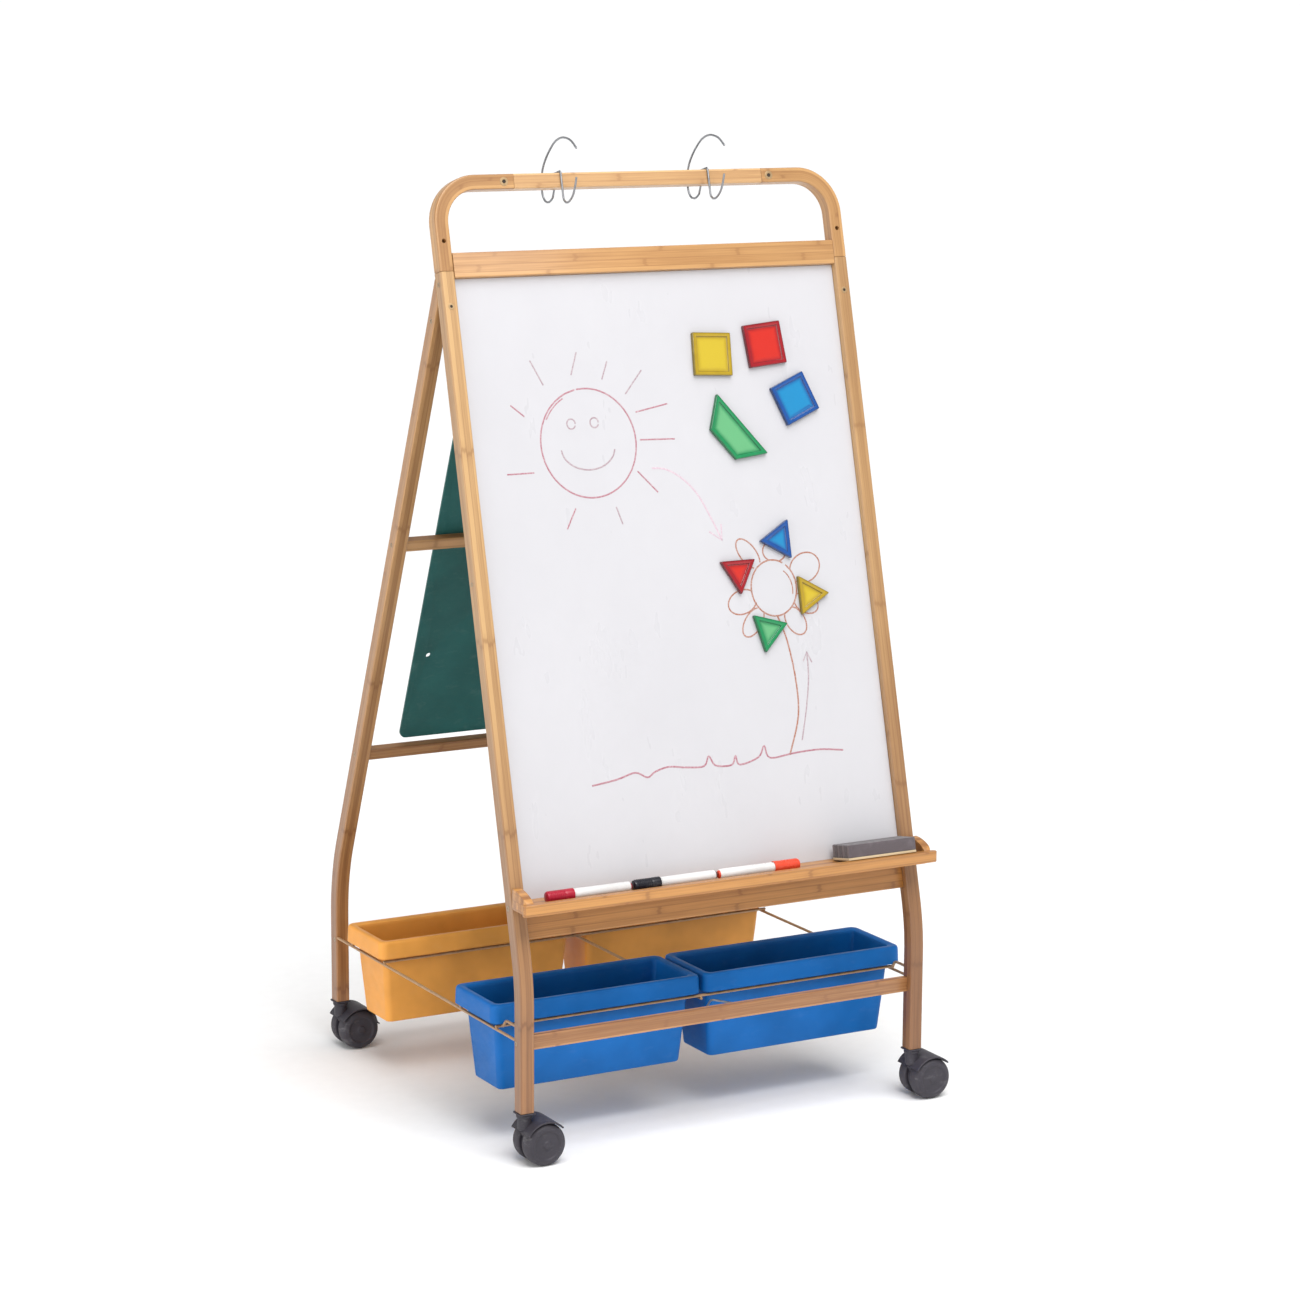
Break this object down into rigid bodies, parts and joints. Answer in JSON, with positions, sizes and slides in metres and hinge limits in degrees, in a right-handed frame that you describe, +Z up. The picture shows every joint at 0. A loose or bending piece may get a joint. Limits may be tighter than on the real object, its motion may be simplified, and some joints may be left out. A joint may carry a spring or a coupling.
{
  "type": "kids easel",
  "caption": "Rolling bamboo classroom easel with a magnetic dry-erase board, marker tray, wire rack of lift-out tubs and chart hooks.",
  "frame": {"origin": "on the floor under the centre of the whole easel, casters and tray included", "axes": "+Z up, -Y the side the writing board faces, +X to the right of a child who faces the board"},
  "size_m": [0.7614, 0.723, 1.4838],
  "materials": {
    "bamboo": "clear satin lacquer over light bamboo",
    "bamboo_dark": "clear satin lacquer over warmer bent bamboo",
    "board_face": "smooth cool white writing surface",
    "wire_bronze": "tan bronze coat",
    "wire_chrome": "bright chrome",
    "tub_blue": "satin moulded plastic",
    "tub_yellow": "satin moulded plastic",
    "panel_teal": "matte painted board",
    "caster_charcoal": "satin moulded nylon",
    "marker_white": "glossy",
    "eraser_felt": "dark felt on a thin pale base",
    "tile_yellow": "translucent tinted plastic",
    "tile_red": "translucent tinted plastic",
    "tile_blue": "translucent tinted plastic",
    "tile_green": "translucent tinted plastic"
  },
  "bodies": {
    "frame": {"front_leg_left": "bamboo", "front_leg_right": "bamboo", "top_corner_left": "bamboo_dark", "top_corner_right": "bamboo_dark", "top_bar": "bamboo", "board_top_rail": "bamboo", "whiteboard": "board_face", "marker_tray": "bamboo", "tray_apron": "bamboo", "front_stretcher": "bamboo", "rear_leg_left": "bamboo", "rear_leg_right": "bamboo", "rear_rung_lower": "bamboo", "rear_rung_middle": "bamboo", "rear_rung_top": "bamboo", "rear_stretcher": "bamboo", "rear_panel": "panel_teal", "side_wire_left": "wire_bronze", "side_wire_right": "wire_bronze", "cross_wire_front_outer": "wire_bronze", "cross_wire_front_inner": "wire_bronze", "cross_wire_rear_inner": "wire_bronze", "cross_wire_rear_outer": "wire_bronze", "centre_wire": "wire_bronze", "hanger_wire_left": "wire_bronze", "hanger_wire_right": "wire_bronze", "rack_clip": "wire_chrome"},
    "caster_front_left": {"caster_front_left": "caster_charcoal"},
    "wheel_front_left_near": {"wheel_front_left_near": "caster_charcoal"},
    "wheel_front_left_far": {"wheel_front_left_far": "caster_charcoal"},
    "caster_front_right": {"caster_front_right": "caster_charcoal"},
    "wheel_front_right_near": {"wheel_front_right_near": "caster_charcoal"},
    "wheel_front_right_far": {"wheel_front_right_far": "caster_charcoal"},
    "caster_rear_left": {"caster_rear_left": "caster_charcoal"},
    "wheel_rear_left_near": {"wheel_rear_left_near": "caster_charcoal"},
    "wheel_rear_left_far": {"wheel_rear_left_far": "caster_charcoal"},
    "brake_rear_left": {"brake_rear_left": "caster_charcoal"},
    "caster_rear_right": {"caster_rear_right": "caster_charcoal"},
    "wheel_rear_right_near": {"wheel_rear_right_near": "caster_charcoal"},
    "wheel_rear_right_far": {"wheel_rear_right_far": "caster_charcoal"},
    "brake_rear_right": {"brake_rear_right": "caster_charcoal"},
    "tub_front_left": {"tub_front_left": "tub_blue"},
    "tub_front_right": {"tub_front_right": "tub_blue"},
    "tub_rear_left": {"tub_rear_left": "tub_yellow"},
    "tub_rear_right": {"tub_rear_right": "tub_yellow"},
    "chart_hook_left": {"chart_hook_left": "wire_chrome"},
    "chart_hook_right": {"chart_hook_right": "wire_chrome"},
    "marker_red": {"marker_red": "marker_white"},
    "marker_black": {"marker_black": "marker_white"},
    "marker_orange": {"marker_orange": "marker_white"},
    "eraser": {"eraser": "eraser_felt"},
    "tile_square_yellow": {"tile_square_yellow": "tile_yellow"},
    "tile_square_red": {"tile_square_red": "tile_red"},
    "tile_square_blue": {"tile_square_blue": "tile_blue"},
    "tile_trapezoid_green": {"tile_trapezoid_green": "tile_green"},
    "tile_triangle_blue": {"tile_triangle_blue": "tile_blue"},
    "tile_triangle_red": {"tile_triangle_red": "tile_red"},
    "tile_triangle_yellow": {"tile_triangle_yellow": "tile_yellow"},
    "tile_triangle_green": {"tile_triangle_green": "tile_green"}
  },
  "joints": [
    {"name": "swivel_front_left", "type": "hinge", "parent": "frame", "child": "caster_front_left", "pos_m": [-0.36142, -0.3255, 0.07], "axis": [0, 0, 1], "continuous": true},
    {"name": "roll_front_left_near", "type": "hinge", "parent": "caster_front_left", "child": "wheel_front_left_near", "pos_m": [-0.33742, -0.3255, 0.0325], "axis": [0, 1, 0], "continuous": true},
    {"name": "roll_front_left_far", "type": "hinge", "parent": "caster_front_left", "child": "wheel_front_left_far", "pos_m": [-0.33742, -0.3255, 0.0325], "axis": [0, 1, 0], "continuous": true},
    {"name": "swivel_front_right", "type": "hinge", "parent": "frame", "child": "caster_front_right", "pos_m": [0.31607, -0.3255, 0.07], "axis": [0, 0, 1], "continuous": true},
    {"name": "roll_front_right_near", "type": "hinge", "parent": "caster_front_right", "child": "wheel_front_right_near", "pos_m": [0.34008, -0.3255, 0.0325], "axis": [0, 1, 0], "continuous": true},
    {"name": "roll_front_right_far", "type": "hinge", "parent": "caster_front_right", "child": "wheel_front_right_far", "pos_m": [0.34008, -0.3255, 0.0325], "axis": [0, 1, 0], "continuous": true},
    {"name": "swivel_rear_left", "type": "hinge", "parent": "frame", "child": "caster_rear_left", "pos_m": [-0.36142, 0.3325, 0.07], "axis": [0, 0, 1], "continuous": true},
    {"name": "roll_rear_left_near", "type": "hinge", "parent": "caster_rear_left", "child": "wheel_rear_left_near", "pos_m": [-0.33742, 0.3325, 0.0325], "axis": [0, 1, 0], "continuous": true},
    {"name": "roll_rear_left_far", "type": "hinge", "parent": "caster_rear_left", "child": "wheel_rear_left_far", "pos_m": [-0.33742, 0.3325, 0.0325], "axis": [0, 1, 0], "continuous": true},
    {"name": "lift_brake_rear_left", "type": "hinge", "parent": "caster_rear_left", "child": "brake_rear_left", "pos_m": [-0.31043, 0.3325, 0.05617], "axis": [0, 1, 0], "range_deg": [-14, 0]},
    {"name": "swivel_rear_right", "type": "hinge", "parent": "frame", "child": "caster_rear_right", "pos_m": [0.31607, 0.3325, 0.07], "axis": [0, 0, 1], "continuous": true},
    {"name": "roll_rear_right_near", "type": "hinge", "parent": "caster_rear_right", "child": "wheel_rear_right_near", "pos_m": [0.34008, 0.3325, 0.0325], "axis": [0, 1, 0], "continuous": true},
    {"name": "roll_rear_right_far", "type": "hinge", "parent": "caster_rear_right", "child": "wheel_rear_right_far", "pos_m": [0.34008, 0.3325, 0.0325], "axis": [0, 1, 0], "continuous": true},
    {"name": "lift_brake_rear_right", "type": "hinge", "parent": "caster_rear_right", "child": "brake_rear_right", "pos_m": [0.36707, 0.3325, 0.05617], "axis": [0, 1, 0], "range_deg": [-14, 0]},
    {"name": "lift_tub_front_left", "type": "slide", "parent": "frame", "child": "tub_front_left", "axis": [0, 0, 1], "range_m": [0, 0.17]},
    {"name": "lift_tub_front_right", "type": "slide", "parent": "frame", "child": "tub_front_right", "axis": [0, 0, 1], "range_m": [0, 0.17]},
    {"name": "lift_tub_rear_left", "type": "slide", "parent": "frame", "child": "tub_rear_left", "axis": [0, 0, 1], "range_m": [0, 0.17]},
    {"name": "lift_tub_rear_right", "type": "slide", "parent": "frame", "child": "tub_rear_right", "axis": [0, 0, 1], "range_m": [0, 0.17]},
    {"name": "slide_hook_left", "type": "slide", "parent": "frame", "child": "chart_hook_left", "axis": [1, 0, 0], "range_m": [-0.065, 0.15]},
    {"name": "slide_hook_right", "type": "slide", "parent": "frame", "child": "chart_hook_right", "axis": [1, 0, 0], "range_m": [-0.15, 0.065]},
    {"name": "lift_marker_red", "type": "slide", "parent": "frame", "child": "marker_red", "axis": [0, 0, 1], "range_m": [0, 0.08]},
    {"name": "lift_marker_black", "type": "slide", "parent": "frame", "child": "marker_black", "axis": [0, 0, 1], "range_m": [0, 0.08]},
    {"name": "lift_marker_orange", "type": "slide", "parent": "frame", "child": "marker_orange", "axis": [0, 0, 1], "range_m": [0, 0.08]},
    {"name": "lift_eraser", "type": "slide", "parent": "frame", "child": "eraser", "axis": [0, 0, 1], "range_m": [0, 0.08]},
    {"name": "pull_tile_square_yellow", "type": "slide", "parent": "frame", "child": "tile_square_yellow", "axis": [0, -0.9698, 0.244], "range_m": [0, 0.06]},
    {"name": "pull_tile_square_red", "type": "slide", "parent": "frame", "child": "tile_square_red", "axis": [0, -0.9698, 0.244], "range_m": [0, 0.06]},
    {"name": "pull_tile_square_blue", "type": "slide", "parent": "frame", "child": "tile_square_blue", "axis": [0, -0.9698, 0.244], "range_m": [0, 0.06]},
    {"name": "pull_tile_trapezoid_green", "type": "slide", "parent": "frame", "child": "tile_trapezoid_green", "axis": [0, -0.9698, 0.244], "range_m": [0, 0.06]},
    {"name": "pull_tile_triangle_blue", "type": "slide", "parent": "frame", "child": "tile_triangle_blue", "axis": [0, -0.9698, 0.244], "range_m": [0, 0.06]},
    {"name": "pull_tile_triangle_red", "type": "slide", "parent": "frame", "child": "tile_triangle_red", "axis": [0, -0.9698, 0.244], "range_m": [0, 0.06]},
    {"name": "pull_tile_triangle_yellow", "type": "slide", "parent": "frame", "child": "tile_triangle_yellow", "axis": [0, -0.9698, 0.244], "range_m": [0, 0.06]},
    {"name": "pull_tile_triangle_green", "type": "slide", "parent": "frame", "child": "tile_triangle_green", "axis": [0, -0.9698, 0.244], "range_m": [0, 0.06]}
  ]
}
